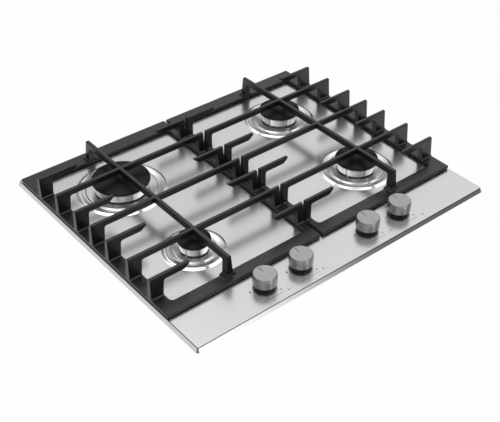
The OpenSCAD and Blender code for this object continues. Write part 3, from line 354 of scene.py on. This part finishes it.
# a colour runs between dark and light, grain and patches are noise per metre, and edge is the
# radius that softens a sharp edge in the light
finishes = {
    "topSteel": (brushedSteel, {
        "light": (0.62, 0.62, 0.63), "dark": (0.59, 0.59, 0.60),
        "roughness": 0.25, "anisotropic": 0.35, "grain": (14, 1500, 1500),
        "cloudScale": 9, "cloudLow": 0.6, "bump": 0.003, "bumpDepth": 0.0002,
        "rimLean": 3.5 * mm,    # width of the rim's bevel, seen from above
        "rimPolish": 0.40,      # the bevel's roughness, as a share of the plate's
        "bendHalf": 0.4 * mm,   # half the width of the painted shade line where the bevel bends down
        # colour of the painted shade line along the bevel's bend
        "bendShadeColour": (0.16, 0.16, 0.16)}),
    "castIron": (castSurface, {
        "light": (0.007, 0.007, 0.008), "dark": (0.005, 0.005, 0.006),
        "roughness": 0.32, "specular": 0.5, "grain": 1400, "patches": 30, "bump": 0.18,
        "bumpDepth": 0.0002, "edge": 0.9 * mm}),
    "capEnamel": (castSurface, {
        "light": (0.006, 0.006, 0.007), "dark": (0.004, 0.004, 0.005),
        "roughness": 0.38, "specular": 0.15, "grain": 900, "patches": 40, "bump": 0.08,
        "bumpDepth": 0.0002}),
    "crownAlloy": (metalSurface, {
        "light": (0.72, 0.72, 0.73), "dark": (0.62, 0.62, 0.63),
        "roughness": 0.15, "grain": 900, "patches": 60, "bump": 0.08, "bumpDepth": 0.0002}),
    "knobMetal": (metalSurface, {
        "light": (0.36, 0.36, 0.37), "dark": (0.33, 0.33, 0.34),
        "roughness": 0.27, "grain": 2600, "patches": 90, "bump": 0.08, "bumpDepth": 0.0001}),
    "collarPlastic": (castSurface, {
        "light": (0.004, 0.004, 0.004), "dark": (0.002, 0.002, 0.002),
        "roughness": 0.40, "specular": 0.2, "grain": 1500, "patches": 60, "bump": 0.05,
        "bumpDepth": 0.0001}),
    "footRubber": (castSurface, {
        "light": (0.018, 0.018, 0.018), "dark": (0.012, 0.012, 0.012),
        "roughness": 0.75, "specular": 0.35, "grain": 1500, "patches": 60, "bump": 0.15,
        "bumpDepth": 0.0001}),
    "sealFoam": (castSurface, {
        "light": (0.075, 0.075, 0.078), "dark": (0.040, 0.040, 0.042),
        "roughness": 0.90, "specular": 0.2, "grain": 1800, "patches": 400, "bump": 0.6,
        "bumpDepth": 0.0003}),
    "galvanised": (galvanisedSheet, {
        "light": (0.68, 0.69, 0.71), "dark": (0.50, 0.51, 0.53),
        "roughness": 0.38, "spangle": 110, "grain": 700, "bump": 0.06, "bumpDepth": 0.0002}),
    "zincScrew": (metalSurface, {
        "light": (0.74, 0.74, 0.76), "dark": (0.60, 0.60, 0.63),
        "roughness": 0.28, "grain": 1500, "patches": 300, "bump": 0.05, "bumpDepth": 0.0001}),
    "castAlloy": (metalSurface, {
        "light": (0.62, 0.62, 0.63), "dark": (0.48, 0.48, 0.50),
        "roughness": 0.48, "grain": 1200, "patches": 80, "bump": 0.30, "bumpDepth": 0.0003}),
    "pipeAlloy": (metalSurface, {
        "light": (0.82, 0.82, 0.83), "dark": (0.70, 0.70, 0.72),
        "roughness": 0.30, "grain": 600, "patches": 40, "bump": 0.06, "bumpDepth": 0.0002}),
    "tapAlloy": (metalSurface, {
        "light": (0.70, 0.68, 0.62), "dark": (0.58, 0.56, 0.50),
        "roughness": 0.40, "grain": 1200, "patches": 90, "bump": 0.22, "bumpDepth": 0.0002}),
    "brass": (metalSurface, {
        "light": (0.80, 0.60, 0.26), "dark": (0.66, 0.46, 0.18),
        "roughness": 0.28, "grain": 1500, "patches": 120, "bump": 0.05, "bumpDepth": 0.0001}),
    "stemSteel": (metalSurface, {
        "light": (0.62, 0.62, 0.64), "dark": (0.50, 0.50, 0.52),
        "roughness": 0.24, "grain": 1500, "patches": 150, "bump": 0.05, "bumpDepth": 0.0001}),
    "ceramic": (castSurface, {
        "light": (0.74, 0.72, 0.68), "dark": (0.66, 0.64, 0.60),
        "roughness": 0.30, "specular": 0.5, "grain": 1500, "patches": 200, "bump": 0.04,
        "bumpDepth": 0.0001}),
    "sensorCopper": (metalSurface, {
        "light": (0.78, 0.48, 0.34), "dark": (0.62, 0.36, 0.26),
        "roughness": 0.32, "grain": 1500, "patches": 200, "bump": 0.05, "bumpDepth": 0.0001}),
    "switchPlastic": (castSurface, {
        "light": (0.60, 0.57, 0.48), "dark": (0.54, 0.51, 0.43),
        "roughness": 0.45, "specular": 0.45, "grain": 1800, "patches": 120, "bump": 0.08,
        "bumpDepth": 0.0001}),
    "whitePlastic": (castSurface, {
        "light": (0.70, 0.70, 0.69), "dark": (0.65, 0.65, 0.64),
        "roughness": 0.42, "specular": 0.45, "grain": 1800, "patches": 120, "bump": 0.08,
        "bumpDepth": 0.0001}),
    "markInk": (castSurface, {
        "light": (0.012, 0.012, 0.013), "dark": (0.008, 0.008, 0.009),
        "roughness": 0.55, "specular": 0.3, "grain": 2500, "patches": 300, "bump": 0.05,
        "bumpDepth": 0.00005}),
}

wearsFinish = [    # how a node's name starts, and its finish; the first that fits is taken
    ("top_plate", "topSteel"), ("worktop_seal", "sealFoam"),
    ("bottom_box", "galvanised"), ("box_screws", "zincScrew"),
    ("clamp_brackets", "galvanised"), ("bracket_screws", "zincScrew"),
    ("gas_manifold", "pipeAlloy"), ("gas_inlet_elbow", "tapAlloy"),
    ("supply_pipe", "pipeAlloy"), ("tap_rail", "galvanised"),
    ("tap_covers", "castAlloy"), ("gas_tap", "tapAlloy"),
    ("tap_plug", "brass"), ("tap_stem", "stemSteel"),
    ("knob_collars", "collarPlastic"), ("knob_", "knobMetal"),
    ("injectors", "brass"), ("burner_screws", "zincScrew"),
    ("spark_electrodes", "ceramic"), ("flame_sensors", "sensorCopper"),
    ("ignition_switches", "switchPlastic"), ("spark_generator", "whitePlastic"),
    ("terminal_block", "whitePlastic"), ("cable_grommet", "footRubber"),
    ("pan_support", "castIron"), ("support_feet", "footRubber"),
    ("burner_cup", "castAlloy"), ("burner_crown", "crownAlloy"),
    ("burner_cap", "capEnamel"),
]

materials = {name: build(name, settings) for name, (build, settings) in finishes.items()}
for nodeName, piece in nodes.items():
    finish = next(f for start, f in wearsFinish if nodeName.startswith(start))
    piece.data.materials.clear()
    piece.data.materials.append(materials[finish])
print("finishes laid on", len(nodes), "nodes")


# printed marks beside the knobs, and the ink in the knobs' grooves, in mm from each knob's middle
marks = {
    "thick": 0.05,
    "largeFlame": (-27.2, 1.0, 4.2),     # place and height
    "smallFlame": (12.4, -22.0, 3.4),
    "line": (-27.5, 13.5, -28.5, 0.45),  # from, to, place and width
    "burners": (23.8, -28.0, 2.6, 1.7),  # middle of the four dots and half their spacing
    "boldDot": 1.25,                     # radii
    "faintDot": 0.6,
    "dotSides": 14,
    "bold": (2, 0, 1, 3),                # each knob's bold dot: the dots run by rows from the back
    "pointer": (-0.58, 0.58, 4.05, 15.95),    # sides and ends of the ink
    "pointerTop": 0.08,                  # depths of its top and bottom under the knob's face
    "pointerBottom": 0.58,
    "flame": [(0, 0.62), (-0.10, 0.36), (-0.14, 0.16), (-0.28, 0.06), (-0.36, -0.14),
              (-0.22, -0.34), (0, -0.40), (0.22, -0.34), (0.36, -0.16), (0.34, 0.05), (0.16, 0.30)],
}


def flameOutline(s, x, y, height):
    return [(x + px * height, y + py * height) for px, py in s["flame"]]


def dotOutline(s, x, y, radius):
    turns = [2 * math.pi * i / s["dotSides"] for i in range(s["dotSides"])]
    return [(x + radius * math.cos(t), y + radius * math.sin(t)) for t in turns]


def boxOutline(x0, x1, y0, y1):
    return [(x0, y0), (x1, y0), (x1, y1), (x0, y1)]


def inkPiece(name, centre, outlines, bottom, thick, rider):
    # one flat block per outline, which runs counter-clockwise
    points, faces = [], []
    for outline in outlines:
        count = len(outline)
        low = [len(points) + i for i in range(count)]
        high = [i + count for i in low]
        for z in (bottom, bottom + thick):
            points += [(centre.x + px * mm, centre.y + py * mm, z) for px, py in outline]
        faces += [low[::-1], high]
        faces += [(low[i - 1], low[i], high[i], high[i - 1]) for i in range(count)]
    mesh = bpy.data.meshes.new(name)
    mesh.from_pydata(points, [], faces)
    mesh.materials.append(materials["markInk"])
    piece = bpy.data.objects.new(name, mesh)
    bpy.context.scene.collection.objects.link(piece)
    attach(piece, rider)


def printMarks(name, centre, bold, s):
    outlines = [flameOutline(s, *s["largeFlame"]), flameOutline(s, *s["smallFlame"])]
    x0, x1, y, width = s["line"]
    outlines.append(boxOutline(x0, x1, y - width / 2, y + width / 2))
    bx, by, dx, dy = s["burners"]
    for i, (px, py) in enumerate([(-dx, dy), (dx, dy), (-dx, -dy), (dx, -dy)]):
        radius = s["boldDot"] if i == bold else s["faintDot"]
        outlines.append(dotOutline(s, bx + px, by + py, radius))
    inkPiece(name, centre, outlines, plateTop, s["thick"] * mm, "root")


def fillPointer(name, centre, top, rider, s):
    thick = (s["pointerBottom"] - s["pointerTop"]) * mm
    inkPiece(name, centre, [boxOutline(*s["pointer"])], top - s["pointerBottom"] * mm, thick, rider)


for k in range(4):
    low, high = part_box("knob_%d" % (k + 1))
    middle = (low + high) / 2
    printMarks("knobMarks_%d" % (k + 1), middle, marks["bold"][k], marks)
    fillPointer("knobPointer_%d" % (k + 1), middle, high.z, "knob_unit_%d" % (k + 1), marks)
print("marks printed")
